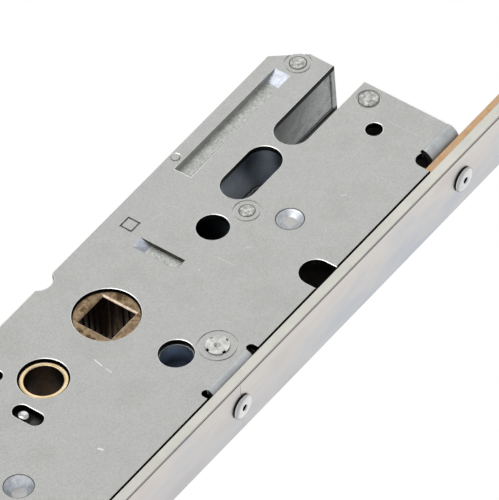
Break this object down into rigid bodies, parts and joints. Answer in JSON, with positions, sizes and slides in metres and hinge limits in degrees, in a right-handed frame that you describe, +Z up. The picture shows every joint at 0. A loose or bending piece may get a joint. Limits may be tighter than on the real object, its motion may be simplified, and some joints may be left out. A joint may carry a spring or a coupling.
{
  "type": "multipoint door lock",
  "caption": "Multipoint door lock: centre case with latch, deadbolt and square follower, hook cases and rollers driven by one sliding rod behind a long faceplate.",
  "frame": {"origin": "spindle axis in the middle of the case thickness", "axes": "+X out of the door's edge through the faceplate, +Z up, -Y towards the cover plate"},
  "size_m": [0.071, 0.0164, 1.4],
  "materials": {
    "galvanised": "matt zinc-coated sheet",
    "faceplate": "brushed",
    "bright_steel": "bright zinc-plated",
    "steel": "plain",
    "spring": "drawn wire",
    "passivated": "yellow passivated",
    "zinc_core": "die-cast zinc, close to iron in density",
    "bronze": "sintered, oiled"
  },
  "bodies": {
    "frame": {"faceplate_upper": "faceplate", "faceplate_lower": "faceplate", "faceplate_rivets": "bright_steel", "case_cover": "galvanised", "case_base": "galvanised", "upper_core": "zinc_core", "socket_core": "zinc_core", "latch_guide": "zinc_core", "screw_bush": "bronze", "case_rivets": "steel", "pivot_post": "steel", "bolt_post": "steel", "latch_spring": "spring", "upper_hook_cover": "galvanised", "upper_hook_base": "galvanised", "upper_hook_pivot": "steel", "upper_hook_posts": "steel", "lower_hook_cover": "galvanised", "lower_hook_base": "galvanised", "lower_hook_pivot": "steel", "lower_hook_posts": "steel"},
    "drive_rods": {"drive_bar": "passivated", "upper_rod": "passivated", "lower_rod": "passivated", "rod_couplers": "steel", "coupler_rivets": "steel", "drive_carriage": "zinc_core", "upper_hook_ears": "zinc_core", "upper_hook_pin": "steel", "lower_hook_ears": "zinc_core", "lower_hook_pin": "steel", "upper_roller_stud": "steel", "lower_roller_stud": "steel"},
    "follower": {"follower": "bronze", "follower_pin": "steel"},
    "latch": {"latch_bolt": "bright_steel"},
    "latch_lever": {"latch_lever": "steel", "latch_lever_pin": "steel"},
    "deadbolt": {"deadbolt": "bright_steel"},
    "blocking_slide": {"blocking_slide": "steel", "slide_pin": "bright_steel"},
    "upper_hook": {"upper_hook": "bright_steel"},
    "lower_hook": {"lower_hook": "bright_steel"},
    "upper_roller": {"upper_roller": "bright_steel"},
    "lower_roller": {"lower_roller": "bright_steel"}
  },
  "joints": [
    {"name": "rod_slide", "type": "slide", "parent": "frame", "child": "drive_rods", "axis": [0, 0, -1], "range_m": [0, 0.01653]},
    {"name": "follower_turn", "type": "hinge", "parent": "frame", "child": "follower", "pos_m": [0, 0, 0], "axis": [0, 1, 0], "range_deg": [0, 45]},
    {"name": "upper_hook_turn", "type": "hinge", "parent": "frame", "child": "upper_hook", "pos_m": [0.016, 0, 0.56], "axis": [0, 1, 0], "range_deg": [0, 90]},
    {"name": "lower_hook_turn", "type": "hinge", "parent": "frame", "child": "lower_hook", "pos_m": [0.016, 0, -0.56], "axis": [0, 1, 0], "range_deg": [0, 90]},
    {"name": "latch_slide", "type": "slide", "parent": "frame", "child": "latch", "axis": [-1, 0, 0], "range_m": [0, 0.0115], "stiffness_N_per_m": 150, "springref_m": -0.01, "deforming": ["latch_spring"]},
    {"name": "latch_lever_turn", "type": "hinge", "parent": "frame", "child": "latch_lever", "pos_m": [0, 0.0045, -0.0247], "axis": [0, 1, 0], "range_deg": [0, 15.74]},
    {"name": "deadbolt_slide", "type": "slide", "parent": "frame", "child": "deadbolt", "axis": [1, 0, 0], "range_m": [0, 0.02]},
    {"name": "blocking_slide_move", "type": "slide", "parent": "frame", "child": "blocking_slide", "axis": [1, 0, 0], "range_m": [0, 0.0034]},
    {"name": "upper_roller_spin", "type": "hinge", "parent": "drive_rods", "child": "upper_roller", "pos_m": [0.044, 0, 0.37], "axis": [1, 0, 0], "continuous": true},
    {"name": "lower_roller_spin", "type": "hinge", "parent": "drive_rods", "child": "lower_roller", "pos_m": [0.044, 0, -0.37], "axis": [1, 0, 0], "continuous": true}
  ],
  "couplings": [
    {"joint": "follower_turn", "follows": "rod_slide", "rad_per_m": 47.503},
    {"joint": "upper_hook_turn", "follows": "rod_slide", "rad_per_m": 95.006},
    {"joint": "lower_hook_turn", "follows": "rod_slide", "rad_per_m": 95.006},
    {"joint": "latch_lever_turn", "follows": "latch_slide", "rad_per_m": 23.869}
  ]
}
